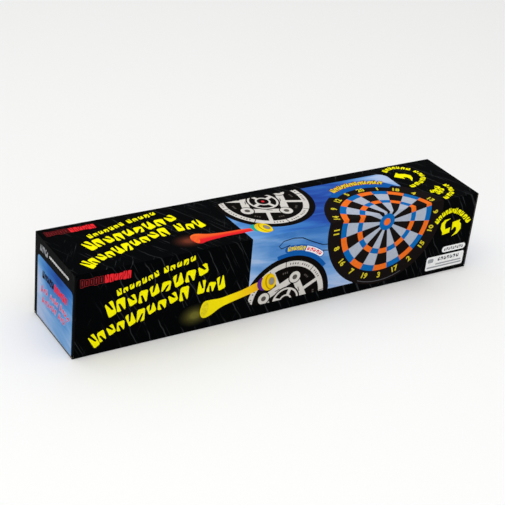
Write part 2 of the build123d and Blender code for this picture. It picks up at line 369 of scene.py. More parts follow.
def smooth_outline(corners, parts=4):
    """A closed curve through the corners."""
    points = []
    count = len(corners)
    for number in range(count):
        p0, p1, p2, p3 = (Vector(corners[(number + shift) % count]) for shift in (-1, 0, 1, 2))
        for part in range(parts):
            t = part / parts
            point = 0.5 * (2 * p1 + (p2 - p0) * t + (2 * p0 - 5 * p1 + 4 * p2 - p3) * t ** 2
                           + (3 * p1 - p0 - 3 * p2 + p3) * t ** 3)
            points.append(tuple(point))
    return points


def rounded_box(left, top, right, bottom, radii):
    """A box with its own corner radius at top left, top right, bottom right and bottom left."""
    corners = [((left, top), 1, 1, 270), ((right, top), -1, 1, 0), ((right, bottom), -1, -1, 90),
               ((left, bottom), 1, -1, 180)]
    points = []
    for (corner, across, down, first), radius in zip(corners, radii):
        if radius:
            middle = (corner[0] + across * radius, corner[1] + down * radius)
            points += arc(middle, radius, first, first + 90, 15)
        else:
            points.append(corner)
    return points


def corner_fill(corner, middle, radius, first):
    """What is left outside a rounded corner."""
    return [corner] + arc(middle, radius, first, first + 90, 15)


def block(middle, width, height, turn, lean=0.12):
    """One rounded block that stands in for a letter."""
    half_wide, half_high = width / 2, height / 2
    soft = 0.3 * min(half_wide, half_high)
    corners = [(-half_wide + soft, -half_high), (half_wide - soft, -half_high), (half_wide, -half_high + soft),
               (half_wide, half_high - soft), (half_wide - soft, half_high), (-half_wide + soft, half_high),
               (-half_wide, half_high - soft), (-half_wide, -half_high + soft)]
    return [turned_point(middle, x - lean * y, y, turn) for x, y in corners]


TILT_OF_HOP = 14  # degrees that a block tilts for each millimetre that it hops


def block_row(path, heights, ink, ground, slit=0.2, fill=0.84, bounce=0.0, lean=0.12):
    """A row of blocks that stands in for a line of lettering, evenly spaced along a curve through three points.

    Each block has a slanted notch of the ground's ink, from its top or its bottom, so it looks brushed. slit
    and fill are shares of the blocks' pitch, and bounce is how far they hop up and down in turn."""
    first, middle, last = (Vector(point) for point in path)
    shapes = []
    count = len(heights)

    def point_at(share):
        return (first * (1 - share) * (1 - 2 * share) + middle * 4 * share * (1 - share)
                + last * share * (2 * share - 1))

    for number, height in enumerate(heights):
        share = (number + 0.5) / count
        here = point_at(share)
        before, after = point_at(share - 0.5 / count), point_at(share + 0.5 / count)
        pitch = (after - before).length
        side = 1 if number % 2 else -1
        hop = bounce * side
        tilt = math.degrees(math.atan2(after.y - before.y, after.x - before.x)) + TILT_OF_HOP * hop
        place = (here.x, here.y + hop)
        shapes.append((ink, block(place, pitch * fill, height, tilt, lean)))
        if slit:
            slant = 0.16 * pitch * (1 if number % 3 else -1)
            open_half, shut_half = 0.62 * slit * pitch, 0.34 * slit * pitch
            mouth, floor = side * 0.53 * height, side * (0.5 - 0.62) * height
            notch = ((slant - open_half, mouth), (slant + open_half, mouth), (shut_half - slant, floor),
                     (-shut_half - slant, floor))
            shapes.append((ground, [turned_point(place, x - lean * y, y, tilt) for x, y in notch]))
    return shapes


def block_rows(rows, ink, ground):
    """Rows of blocks in one ink. Each is its path, its heights, then slit, fill, bounce and lean as needed."""
    return [shape for path, heights, *looks in rows
            for shape in block_row(path, heights, ink, ground, *looks)]


NUMERALS = {}


def numeral(text):
    """The outlines of a number in Blender's own plain font, 1 high and centred: outer loops first."""
    if text not in NUMERALS:
        curve = bpy.data.curves.new("numeral", "FONT")
        curve.body = text
        curve.align_x = "CENTER"
        curve.resolution_u = 2
        curve.offset = 0.04
        made = add_object("numeral", curve)
        mesh = bpy.data.meshes.new_from_object(made.evaluated_get(bpy.context.evaluated_depsgraph_get()))
        form = bmesh.new()
        form.from_mesh(mesh)
        bmesh.ops.remove_doubles(form, verts=form.verts, dist=1e-5)
        ahead = {}
        for face in form.faces:
            for loop in face.loops:
                if len(loop.edge.link_faces) == 1:
                    ahead[loop.vert.index] = loop.link_loop_next.vert.index
        form.verts.ensure_lookup_table()
        loops = []
        while ahead:
            start = next(iter(ahead))
            walked = [start]
            following = ahead.pop(start)
            while following != start:
                walked.append(following)
                following = ahead.pop(following)
            loops.append([(form.verts[index].co.x, form.verts[index].co.y) for index in walked])
        low = min(y for walked in loops for _, y in walked)
        high = max(y for walked in loops for _, y in walked)
        size = high - low
        loops = [[(x / size, (y - (low + high) / 2) / size) for x, y in walked] for walked in loops]
        loops.sort(key=lambda walked: -abs(signed_area(walked)))
        NUMERALS[text] = loops
        form.free()
        bpy.data.objects.remove(made)
        bpy.data.meshes.remove(mesh)
        bpy.data.curves.remove(curve)
    return NUMERALS[text]


def signed_area(points):
    return sum(x0 * y1 - x1 * y0 for (x0, y0), (x1, y1) in zip(points, points[1:] + points[:1])) / 2


def placed_numeral(text, middle, height, turn, ink, ground):
    """A number on the dial. Its holes are printed over in the ground's ink."""
    return [(ink if signed_area(walked) > 0 else ground,
             [turned_point(middle, x * height, -y * height, turn) for x, y in walked])
            for walked in numeral(text)]


DIAL_ORDER = [20, 1, 18, 4, 13, 6, 10, 15, 2, 17, 3, 19, 7, 16, 8, 11, 14, 9, 12, 5]


def dial(middle, size, inks, step=4.5):
    """The numbered dial. size is the radius of its black edge; the rings keep the layout's proportions."""
    black, pale, blue, orange, yellow = inks
    ring = {name: size * share for name, share in (
        ("double_out", 0.7925), ("double_in", 0.70), ("triple_out", 0.5125), ("triple_in", 0.43),
        ("bull", 0.133), ("centre", 0.057), ("numbers", 0.875))}
    shapes = [(black, disc(middle, size * 1.015, step))]
    for number, score in enumerate(DIAL_ORDER):
        first, last = number * 18 - 9, number * 18 + 9
        accent = blue if number % 2 else orange
        shapes.append((accent, ring_piece(middle, ring["double_in"], ring["double_out"], first, last, step)))
        shapes.append((accent, ring_piece(middle, ring["triple_in"], ring["triple_out"], first, last, step)))
        if number % 2:
            shapes.append((pale, ring_piece(middle, ring["triple_out"], ring["double_in"], first, last, step)))
            shapes.append((pale, ring_piece(middle, ring["bull"] * 0.9, ring["triple_in"], first, last, step)))
        turn = number * 18 + (180 if 5 <= number <= 15 else 0)
        shapes += placed_numeral(str(score), around(middle, ring["numbers"], number * 18), size * 0.097, turn,
                                 yellow, black)
    shapes.append((blue, disc(middle, ring["bull"], 12)))
    shapes.append((orange, disc(middle, ring["centre"], 20)))
    return shapes


def wheel_target(middle, size, first, inks, step=6.0):
    """The second game: a white wheel with a square of struts, four knobs, short spokes and a red centre."""
    black, white, grey, red = inks

    def plate(ink, radius, degrees):
        return (ink, disc(middle, size * radius, degrees))

    def bar(ink, start, end, degrees, width):
        return (ink, stroke([around(middle, size * reach, degrees) for reach in (start, end)], size * width))

    shapes = [plate(black, 1, step), plate(white, 0.88, step), plate(black, 0.765, step)]
    for quarter in range(4):
        mid_side = first + 45 + 90 * quarter
        shapes.append(bar(white, 0.40, 0.79, mid_side, 0.075))
        shapes += [bar(black, 0.9, 0.75, mid_side + divider, 0.016) for divider in (-22, 22)]
        shapes += [bar(grey, 0.842, 0.802, mid_side + tick, 0.022)
                   for tick in (-15, -11, -7, -3, 29, 33, 37, 41, 49, 53, 57, 61)]
        shapes += [bar(grey, 0.66, 0.62, mid_side + tick, 0.025) for tick in (17, 21, 25, 65, 69, 73)]
    knobs = [around(middle, size * 0.53, first + 90 * quarter) for quarter in range(5)]
    for here, there in zip(knobs, knobs[1:]):
        shapes.append((white, stroke([here, there], size * 0.15)))
    for quarter, knob in enumerate(knobs[:4]):
        near = around(middle, size * 0.345, first + 45 + 90 * quarter)
        brace = (near[0] * 0.7 + knob[0] * 0.3, near[1] * 0.7 + knob[1] * 0.3)
        shapes.append((grey, stroke([brace, near], size * 0.02)))
        shapes += [(ink, disc(knob, size * radius, degrees))
                   for ink, radius, degrees in ((black, 0.145, 20), (white, 0.125, 20), (grey, 0.055, 30))]
    shapes += [plate(black, 0.33, 12), plate(white, 0.30, 12), plate(black, 0.26, 12)]
    shapes += [bar(white, 0.08, 0.28, first + 90 * quarter, 0.07) for quarter in range(4)]
    return shapes + [plate(white, 0.15, 15), plate(black, 0.115, 15), plate(red, 0.034, 30)]


def titles(right, down, ground):
    """The three lines of bouncing yellow blocks, moved right and down from their place on the top."""
    rows = (
        (((44, 32.5), (69, 26), (93, 18)), (8, 6, 6, 6, 7, 6, 7), 0.22, 0.72, 0.3),
        (((97, 17), (116, 13.5), (136, 9)), (7.5, 6, 6, 7, 6), 0.22, 0.72, 0.3),
        (((33, 52), (44.5, 48.5), (56, 44)), (18, 15.5), 0.26, 0.8, 0.6),
        (((57, 47), (102, 36), (153, 25)), (12, 15, 12.5, 12, 15, 14, 12), 0.25, 0.74, 0.8),
        (((17, 87), (25.5, 82.5), (34, 77)), (17, 13), 0.28, 0.8, 0.6),
        (((35, 78), (80, 63), (131, 48)), (11.5, 11.5, 15, 15.5, 11.5, 11.5, 11.5, 17), 0.25, 0.74, 0.8),
        (((139, 47), (157, 49), (175, 47)), (16, 12, 17), 0.25, 0.72, 0.8))
    moved = [([(x + right, y + down) for x, y in path], *rest) for path, *rest in rows]
    return block_rows(moved, "title_yellow", ground)


def maker_mark(right, down):
    """A small two-part mark: outlined dark blocks, then solid red ones."""
    dark, red = ([(x + right, 12 + down) for x in across] for across in ((5.5, 18, 32), (32.5, 48, 62.5)))
    shapes = []
    for ink, heights, fill in (
            ("mark_outline", (10, 8.5, 8, 10, 9), 0.94), ("mark_shade", (9.1, 7.6, 7.1, 9.1, 8.1), 0.8),
            ("mark_outline", (6, 5, 4.6, 6, 5.4), 0.2)):
        shapes += block_row(dark, heights, ink, "mark_shade", 0, fill, 0.1, 0)
    return shapes + block_row(red, (9.5, 9.5, 8, 8, 10, 9.5), "mark_red", "mark_shade", 0.16, 0.88, 0.1, 0)


def printed_dart(inks, trail, tail, tail_end, collar, nose, turn):
    """A dart in flight with its blurred trail. nose is a row of ovals, from the whole bulb in to its magnet."""
    trail_ink, tail_ink, collar_ink = inks
    shapes = [(trail_ink, oval(*trail, 0, 6)), (tail_ink, smooth_outline(tail)),
              (tail_ink + "_end", oval(*tail_end)), (collar_ink, smooth_outline(collar))]
    nose_inks = ("bulb_print", "bulb_print_dark", "bulb_print", "bulb_print_dark", "magnet_print")
    return shapes + [(ink, oval(*ring, turn)) for ink, ring in zip(nose_inks, nose)]


def flying_darts():
    """The red dart in flight on the top and the yellow one on the front."""
    red = printed_dart(
        ("trail_brown", "dart_red", "collar_teal_print"), ((139, 77.5), 20, 15),
        [(144, 77), (147, 69), (155, 66.8), (167, 71.5), (184, 74.2), (217, 76.8), (217, 83), (184, 83), (161, 85),
         (151, 87.4), (146, 84)],
        ((149.5, 77.6), 3.6, 8.2, 12), [(217.3, 75), (224.3, 70.8), (227, 78), (225.3, 86.5), (218.8, 85)],
        (((230.7, 81.2), 9.0, 11.2), ((233.5, 81.4), 6.6, 10.6), ((234.2, 81.4), 5.7, 9.8),
         ((235.0, 81.3), 3.7, 5.4), ((235.0, 81.3), 3.0, 4.5)), -8)
    yellow = printed_dart(
        ("trail_olive", "dart_yellow", "collar_purple_print"), ((140, 180), 20, 15.5),
        [(148.3, 175), (152, 166), (160, 165), (172, 165.6), (184, 164), (200, 161.2), (221, 155.8), (222, 165.4),
         (200, 171), (184, 174.6), (173, 178), (162, 184.4), (154, 186.4), (149.6, 183)],
        ((154, 176), 4.2, 9.2, 10), [(218.2, 157.5), (223.5, 151), (228, 157.5), (229, 167.8), (221.3, 165.8)],
        (((233, 158.6), 9.2, 11.2), ((235.6, 158.6), 6.8, 10.4), ((236.4, 158.5), 5.9, 9.6),
         ((236.9, 158.4), 3.9, 5.5), ((236.9, 158.4), 3.2, 4.6)), -14)
    return red + yellow


def header_arches():
    """The blue header over each board in the pictures, with a tag of small blocks and the hanging cord."""
    wheel, board = (258, 189), (387, 113)
    cord_width, tag_radius = 1.15, 66.8
    cord = [(308, 126), (300, 125), (285, 118), (272, 111), (260, 109), (247, 110.5), (241.5, 116),
            (245, 119.5), (256, 117)]
    shapes = [("cord_print", stroke(path, cord_width)) for path in (cord, [(298, 132), (309, 134)])]
    shapes.append(("header_blue", ring_piece(wheel, 57.5, 62.6, -16, 53)))
    for ink, first, width, round_ends in (("header_blue", -3, 8.8, (-3, 38)), ("tag_white", 17.5, 6.8, (38,))):
        shapes.append((ink, stroke(arc(wheel, tag_radius, first, 38, 3), width)))
        shapes += [(ink, disc(around(wheel, tag_radius, end), width / 2, 20)) for end in round_ends]
    for path, heights, ink, ground, slit, fill, bounce in (
            ((18.5, 28.5, 39), (4.2, 4.6, 4.2, 4.6, 4.2), "mark_red", "tag_white", 0.28, 0.72, 0.2),
            ((-4, 6, 16.5), (5.8, 5, 5.4, 5, 5.8, 5.4), "lettering_gold", "header_blue", 0.24, 0.84, 0.3)):
        shapes += block_row([around(wheel, 66.9, degrees) for degrees in path], heights, ink, ground, slit, fill,
                            bounce)
    shapes.append(("header_blue", arc(board, 87, -24, 27) + arc(board, 80, 40, 33) + arc(board, 73.5, 30, -30)
                   + arc(board, 81, -34, -30)))
    lettering = [around(board, 85.5, -24.5), around(board, 86.5, 0.5), around(board, 85.5, 25.5)]
    for ink, height, slit, fill, lean in (
            ("header_blue", 11, 0, 1.0, 0.12), ("mark_shade", 9.0, 0, 0.96, 0.3), ("mark_red", 8.4, 0, 0.9, 0.3),
            ("lettering_gold", 7.7, 0.22, 0.82, 0.3)):
        shapes += block_row(lettering, [height] * 12, ink, "mark_shade", slit, fill, 0.5, lean)
    return shapes


def side_emblems():
    """The yellow emblems at the right, curved arrows inside rows of small blocks, and two plain labels."""
    yellow, top = "title_yellow", "ground_top"
    shapes = block_rows((
        (((443, 13.5), (462, 7), (480, 19)), (7, 6, 6.5, 6, 6, 6.5, 6), 0.2, 0.74, 0.3),
        (((481.5, 22), (479, 44), (450, 56)), (6, 6, 6.5, 6, 6.5, 6, 6.5, 6), 0.2, 0.76, 0.3)), yellow, top)
    shapes.append((yellow, [(447.5, 28), (456.5, 19.2), (457.8, 23), (465, 25.5), (469.6, 31), (468, 38),
                            (461.8, 45), (463.6, 38), (462.2, 34), (458, 32.2), (457.2, 36.8)]))
    shapes += block_rows((
        (((466, 74), (474, 76), (484, 66)), (7, 8, 7), 0.25, 0.8, 0.6),
        (((470, 82), (478, 80), (485, 73)), (6, 6, 6), 0.25, 0.8, 0.4),
        (((494.5, 65), (491, 84), (470, 95.5)), (6.5, 6, 6.5, 6, 6.5, 6), 0.22, 0.75, 0.3)), yellow, top)
    shapes += block_row(((461, 130), (484, 116.5), (513.5, 137.5)), (7, 6.5, 6.5, 6.5, 7, 5, 7, 6.5, 6.5, 6.5,
                                                                     7), yellow, "ground_front", 0.2, 0.8, 0.2)
    shapes.append((yellow, [(483.5, 127), (477, 130), (475.5, 134), (477.5, 140.5), (484.5, 139), (484.5, 146),
                            (473.8, 147.6), (473.8, 144.6), (470, 138), (470.2, 131.5), (474.5, 127.5)]))
    shapes.append((yellow, [(489, 152), (497, 149.6), (501.6, 144), (500.6, 137), (497.5, 133.6), (498.5, 130.8),
                            (487, 132.6), (487.6, 143.6), (491.2, 139.6), (494.2, 141), (495, 145.4),
                            (492.4, 149)]))
    for box, soft, path, heights, fill in (
            ((478.5, 164.8, 514, 172.8), 3.9, ((481.5, 168.8), (496, 168.8), (511, 168.8)), [4] * 9, 0.66),
            ((457.4, 175.8, 514, 194.3), 2.5, ((474, 180.6), (490, 180.6), (507, 180.6)), [4.6] * 7, 0.72)):
        shapes.append(("label_white", rounded_box(*box, (soft,) * 4)))
        shapes += block_row(path, heights, "label_grey", "label_white", 0.3, fill, 0.0, 0)
    for row, (left, right) in enumerate(((472, 511), (459.5, 512))):
        shapes.append(("label_pale", rounded_box(left, 186 + 3.6 * row, right, 187.9 + 3.6 * row, (0.8,) * 4)))
    shapes.append(("label_pale", rounded_box(459.6, 178.6, 468, 184, (1.5,) * 4)))
    return shapes


def wrap_art():
    """The print on the top and the front. y is 0 at the back edge, 100 at the fold and 200 at the bottom."""
    shapes = [("ground_front", [(-5, 100), (525, 100), (525, 205), (-5, 205)])]
    shapes.append(("sky", [(204.5, 15), (440, 15), (440, 55), (395, 120), (350, 186), (208.3, 186),
                           (206.7, 100)]))
    inks = ("target_black", "target_white", "target_grey", "target_red")
    shapes += wheel_target((263, 27), 60, 154, inks)
    shapes += wheel_target((258, 189), 58, 18, inks)
    shapes.append(("ground_top", [(190, -5), (330, -5), (330, 14.8), (190, 14.8)]))
    shapes.append(("ground_top", [(190, 14.8), (204.5, 14.8), (206.7, 100), (190, 100)]))
    shapes.append(("ground_top", corner_fill((204.4, 14.7), (216.6, 27), 12.2, 270)))
    shapes.append(("ground_top", corner_fill((440.1, 14.7), (428, 27), 12.2, 0)))
    shapes.append(("ground_front", [(190, 100), (206.7, 100), (208.3, 186), (208.3, 205), (190, 205)]))
    shapes.append(("ground_front", corner_fill((208.1, 186.2), (221, 173.6), 12.7, 180)))
    shapes.append(("ground_front", [(205, 186), (345, 186), (345, 205), (205, 205)]))
    shapes += dial((387, 113), 80, ("dial_black", "dial_pale", "dial_blue", "dial_orange", "dial_yellow"))
    shapes.append(("dial_rim", ring_piece((387, 113), 77.4, 78.3, 156, 203)))
    shapes += header_arches()
    shapes += titles(0, 0, "ground_top")
    shapes += titles(2.5, 98.7, "ground_front")
    shapes += maker_mark(0, 0)
    shapes += maker_mark(0.3, 99)
    shapes += flying_darts()
    shapes += side_emblems()
    return shapes


def end_art():
    """The end of the carton. x is 0 at its left edge, y is 0 at the top."""
    shapes = [("end_sky", rounded_box(7.3, 22.5, 96.5, 105, (5, 5, 0, 0)))]
    for ink, ground, path, heights, slit, fill, bounce in (
            ("label_pale", "ground_end", ((13, 12), (22, 12), (34, 12)), (8, 8, 8), 0.35, 0.8, 0.0),
            ("label_white", "ground_end", ((37, 12), (60, 12), (86, 12)), [2.8] * 20, 0.0, 0.66, 0.1),
            ("mark_shade", "end_sky", ((20, 41), (35, 41), (50, 41)), (9.5, 8, 8, 9.5, 8.5), 0.16, 0.9, 0.2),
            ("mark_red", "end_sky", ((50.5, 41), (66, 41), (83, 41)), (9.5, 9, 8, 8, 9.5, 9), 0.14, 0.88, 0.2)):
        shapes += block_row(path, heights, ink, ground, slit, fill, bounce)
    for path, heights in (
            (((17, 60), (26, 59), (35, 58)), (9, 7, 8)),
            (((40, 58), (51, 57.5), (62, 56)), (7, 7, 8, 7)),
            (((65, 56), (77, 57), (89, 60)), (9, 7, 7, 8)),
            (((20, 72), (40, 70), (58, 68)), (8, 7, 8, 7, 8, 8)),
            (((62, 68), (71, 68.5), (80, 68)), (8, 7, 8))):
        for ink, taller, slit, fill in (("end_glow", 0.6, 0, 0.86), ("script_red", -1.2, 0.3, 0.64)):
            shapes += block_row(path, [height + taller for height in heights], ink, "end_glow", slit, fill, 0.5,
                                0.35)
    return shapes


# ---------------------------------------------------------------- cutting and folding the board
def holds(shape, x, y):
    """Whether a closed outline goes round the point."""
    inside = False
    for (x0, y0), (x1, y1) in zip(shape, shape[1:] + shape[:1]):
        if (y0 > y) != (y1 > y) and x < x0 + (y - y0) * (x1 - x0) / (y1 - y0):
            inside = not inside
    return inside


def cut_print(outline, shapes, lines=()):
    """Cuts a flat outline along every shape and line. Later shapes print over earlier ones, and a shape whose
    ink is None is a hole. Returns [(three corners, ink)], with corners rounded to a tenth of a micron."""
    points, edges, faces = [], [], []
    for corners in [outline] + [shape for _, shape in shapes]:
        corners = list(corners)
        if signed_area(corners) < 0:
            corners.reverse()
        faces.append(list(range(len(points), len(points) + len(corners))))
        points += [Vector(corner) for corner in corners]
    for line in lines:
        edges.append((len(points), len(points) + 1))
        points += [Vector(end) for end in line]
    cut_points, _, cut_faces, _, _, sources = delaunay_2d_cdt(points, edges, faces, 0, 1e-4)
    corners = [(round(point.x, 4), round(point.y, 4)) for point in cut_points]
    printed = [(min(x for x, _ in shape), max(x for x, _ in shape), min(y for _, y in shape),
                max(y for _, y in shape), list(shape), ink) for ink, shape in reversed(shapes)]
    cut = []
    for face, held_by in zip(cut_faces, sources):
        if 0 not in held_by:
            continue
        x = sum(cut_points[index].x for index in face) / len(face)
        y = sum(cut_points[index].y for index in face) / len(face)
        for left, right, top, bottom, shape, ink in printed:
            if left <= x <= right and top <= y <= bottom and holds(shape, x, y):
                if ink:
                    cut.append((tuple(corners[index] for index in face), ink))
                break
    return cut


def rims(cut):
    """The corners round a cut sheet, in order: the largest loop is its outside, and the others are holes."""
    ahead = {}
    for corners, _ in cut:
        for number, corner in enumerate(corners):
            ahead[(corner, corners[(number + 1) % len(corners)])] = None
    following = {here: there for here, there in ahead if (there, here) not in ahead}
    loops = []
    while following:
        walked = [next(iter(following))]
        while walked[-1] in following:
            walked.append(following.pop(walked[-1]))
        loops.append(walked[:-1])
    return sorted(loops, key=lambda walked: -abs(signed_area(walked)))


INK = {}


def settle(piece, body, nodes):
    """Sets a piece on its body, in place of its CAD nodes, which it hides."""
    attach(piece, body)
    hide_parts(*nodes)
    return piece


def finish_piece(name, form, inks, body, nodes, crisp_from=None):
    """Turns a closed form into a piece. With crisp_from, edges sharper than that many degrees stay crisp and
    the rest is shaded smooth."""
    bmesh.ops.recalc_face_normals(form, faces=form.faces)
    if form.calc_volume(signed=True) < 0:
        bmesh.ops.reverse_faces(form, faces=form.faces)
    mesh = bpy.data.meshes.new(name)
    form.to_mesh(mesh)
    form.free()
    for ink in inks:
        mesh.materials.append(INK[ink])
    if crisp_from:
        mesh.shade_smooth()
        mesh.set_sharp_from_angle(angle=math.radians(crisp_from))
    return settle(add_object(name, mesh), body, nodes)


def make_sheet(name, outer, inner, place, edge_ink, body, nodes, crisp_from=None):
    """Builds a closed sheet from its two cut faces. place(x, y, depth) folds the flat print; depth is 0 on the
    outer face and 1 on the inner."""
    made, corners, used = bmesh.new(), {}, []
    layer = made.loops.layers.uv.new(PRINT_MAP)

    def corner_at(corner, depth):
        key = (corner, depth)
        if key not in corners:
            corners[key] = made.verts.new(Vector(place(corner[0], corner[1], depth)) * MM)
        return corners[key]

    def add_face(keys, ink):
        verts = [corner_at(corner, depth) for corner, depth in keys]
        face = made.faces.new(verts)
        if ink not in used:
            used.append(ink)
        face.material_index = used.index(ink)
        for loop, (corner, depth) in zip(face.loops, keys):
            loop[layer].uv = (corner[0] * MM, corner[1] * MM)

    for three, ink in outer:
        add_face([(corner, 0) for corner in three], ink)
    for three, ink in inner:
        add_face([(corner, 1) for corner in reversed(three)], ink)
    inside = {corner for three, _ in inner for corner in three}
    for edge in rims(outer):
        if not set(edge) <= inside:
            raise RuntimeError(f"the two faces of {name} don't share their edge")
        for here, there in zip(edge, edge[1:] + edge[:1]):
            add_face([(there, 0), (here, 0), (here, 1), (there, 1)], edge_ink)
    return finish_piece(name, made, used, body, nodes, crisp_from)


def folded_panel(name, node, body, middle, along, down, outward, centre, half, creased, art, ground,
                 edge_ink="inked_edge"):
    """A carton panel. middle is the middle of its outer face; along and down are the print's directions on it.

    centre is the middle of the panel on the print, and half its half sizes. creased says whether the ends, and
    whether the sides, roll over into a crease, where the board is cut on the diagonal."""
    middle, along, down, outward = (Vector(part) for part in (middle, along, down, outward))
    (left, right), (top, bottom) = ((centre[axis] - half[axis], centre[axis] + half[axis]) for axis in (0, 1))
    outline = [(left, top), (right, top), (right, bottom), (left, bottom)]
    lines = []
    for share in (1.0, 0.5):
        if creased[0]:
            for x in (left + share * CREASE, right - share * CREASE):
                lines.append(((x, top), (x, bottom)))
        if creased[1]:
            for y in (top + share * CREASE, bottom - share * CREASE):
                lines.append(((left, y), (right, y)))

    def rolled(offset, reach, crease):
        past = abs(offset) - (reach - CREASE)
        if not crease or past <= 0:
            return offset, 0
        angle = math.radians(45) * past / CREASE
        sign = 1 if offset > 0 else -1
        return sign * (reach - CREASE + CREASE * math.sin(angle)), CREASE * (1 - math.cos(angle))

    def place(x, y, depth):
        x, y = x - centre[0], y - centre[1]
        if depth:
            x *= (half[0] - BOARD * creased[0]) / half[0]
            y *= (half[1] - BOARD * creased[1]) / half[1]
            return middle + along * x + down * y - outward * BOARD
        x, drop_x = rolled(x, half[0], creased[0])
        y, drop_y = rolled(y, half[1], creased[1])
        return middle + along * x + down * y - outward * (drop_x + drop_y)

    outer = cut_print(outline, [(ground, outline)] + art, lines)
    inner = cut_print(rims(outer)[0], [("board_inside", outline)])
    return make_sheet(name, outer, inner, place, edge_ink, body, [node])


def flat_board(name, node, body, outline, place, outer_ink="board_black"):
    """A small flap of carton board, printed outside and plain inside."""
    outer = cut_print(outline, [(outer_ink, outline)])
    inner = cut_print(outline, [("board_inside", outline)])
    return make_sheet(name, outer, inner, place, "inked_edge", body, [node])


def build_carton():
    art = wrap_art()
    top_art = [(ink, shape) for ink, shape in art if min(y for _, y in shape) < 101]
    front_art = [(ink, shape) for ink, shape in art if max(y for _, y in shape) > 99]
    label = [("label_white", rounded_box(30, 232, 150, 268, (3,) * 4))]
    for row in range(6):
        label.append(("label_grey", rounded_box(36, 237.5 + 4.6 * row, 144 - 9 * (row % 3), 239.3 + 4.6 * row,
                                                (0.8,) * 4)))
    label += maker_mark(420, 238)
    half_length, half_side = CARTON_LENGTH / 2, CARTON_SIDE / 2
    end_reach = half_length - BOARD - SLIP
    # each panel's place, the print's ways along, down and out, its middle down the wrap, its reach and creases
    for name, place, along, down, outward, print_down, reach, creased, drawn in (
            ("top", (0, 0, CARTON_SIDE), (1, 0, 0), (0, -1, 0), (0, 0, 1), 50, half_length, (1, 1), top_art),
            ("front", (0, -half_side, half_side), (1, 0, 0), (0, 0, -1), (0, -1, 0), 150, end_reach, (1, 1),
             front_art),
            ("back", (0, half_side, half_side), (-1, 0, 0), (0, 0, -1), (0, 1, 0), 150, end_reach, (1, 1),
             front_art),
            ("bottom", (0, 0, 0), (1, 0, 0), (0, 1, 0), (0, 0, -1), 250, half_length, (0, 1), label)):
        folded_panel(f"printed_{name}_panel", f"{name}_panel", "carton", place, along, down, outward,
                     (half_length, print_down), (reach, half_side), creased, drawn,
                     "ground_top" if name == "top" else "ground_front")
    glue = [(-250, BOARD), (250, BOARD), (245, BOARD + 18), (-245, BOARD + 18)]
    flat_board("seam_glue_flap", "glue_flap", "carton", glue,
               lambda x, y, depth: (x, half_side - BOARD - BOARD * depth, y), "board_inside")
    for end, side in (("left", -1), ("right", 1)):
        build_end(end, side, half_length, end_reach)


def build_end(end, side, half_length, end_reach):
    """One end: its flap, the tongue that tucks in over the bottom panel, and the two dust flaps behind it."""
    half_wide, half_high = 49.7, 49.25
    folded_panel(f"{end}_printed_end_flap", f"{end}_end_flap", f"{end}_end_flap",
                 (side * half_length, 0, CARTON_SIDE - half_high), (0, side, 0), (0, 0, -1), (side, 0, 0),
                 (50, half_high), (half_wide, half_high), (0, 1), end_art(), "ground_end", "board_black")
    tilt, lift = math.radians(10), 1.5  # the tongue slopes up from just over the bottom panel
    tongue = rounded_box(0.25, -46, 14, 46, (0, 6, 6, 0))
    flat_board(f"{end}_tuck_in_tongue", f"{end}_tuck_tongue", f"{end}_tuck_tongue", tongue,
               lambda x, y, depth: (side * (half_length - x * math.cos(tilt) + depth * BOARD * math.sin(tilt)), y,
                                    lift + x * math.sin(tilt) + depth * BOARD * math.cos(tilt)))
    # y is a height here and runs up, so degrees count anticlockwise from the bottom
    flap = [(-49.6, 5)] + arc((-12, 14.4), 6, 5, 90, 15) + arc((-12, 67.2), 6, 90, 149, 15) + [(-49.6, 96.8)]
    for name, hand in (("front", -1), ("back", 1)):
        flat_board(f"{end}_{name}_dust_tab", f"{end}_{name}_dust_flap", f"{end}_{name}_dust_flap", flap,
                   lambda x, y, depth, hand=hand: (side * (end_reach - BOARD * depth), -hand * x, y))


# ---------------------------------------------------------------- rolled board
ROLL_RADIUS, ROLL_STEP, SHEET = 45.2, 1.2, 1.6
ROLL_AXIS = 1.5 + ROLL_RADIUS + SHEET / 2  # height of the roll's axis over the carton's underside
DISC_MIDDLE, DISC_RADIUS = 265.0, 235.0


def rolled_place(x, y, depth):
    """Rolls the flat sheet about X. y runs from the header's free edge; each half turn has its own middle."""
    start, turn = 0.0, 0
    while turn < 3 and y - start > math.pi * (ROLL_RADIUS - turn * ROLL_STEP):
        start += math.pi * (ROLL_RADIUS - turn * ROLL_STEP)
        turn += 1
    radius = ROLL_RADIUS - turn * ROLL_STEP
    side = -1 if turn % 2 else 1
    middle = ROLL_AXIS - (ROLL_STEP if turn % 2 else 0)
    angle = (y - start) / radius
    reach = radius + SHEET / 2 - SHEET * depth
    return (x, side * reach * math.sin(angle), middle + side * reach * math.cos(angle))


def eyelet_holes():
    return [(None, disc((side * 42.0, 14.0), 2.6, 15)) for side in (-1, 1)]


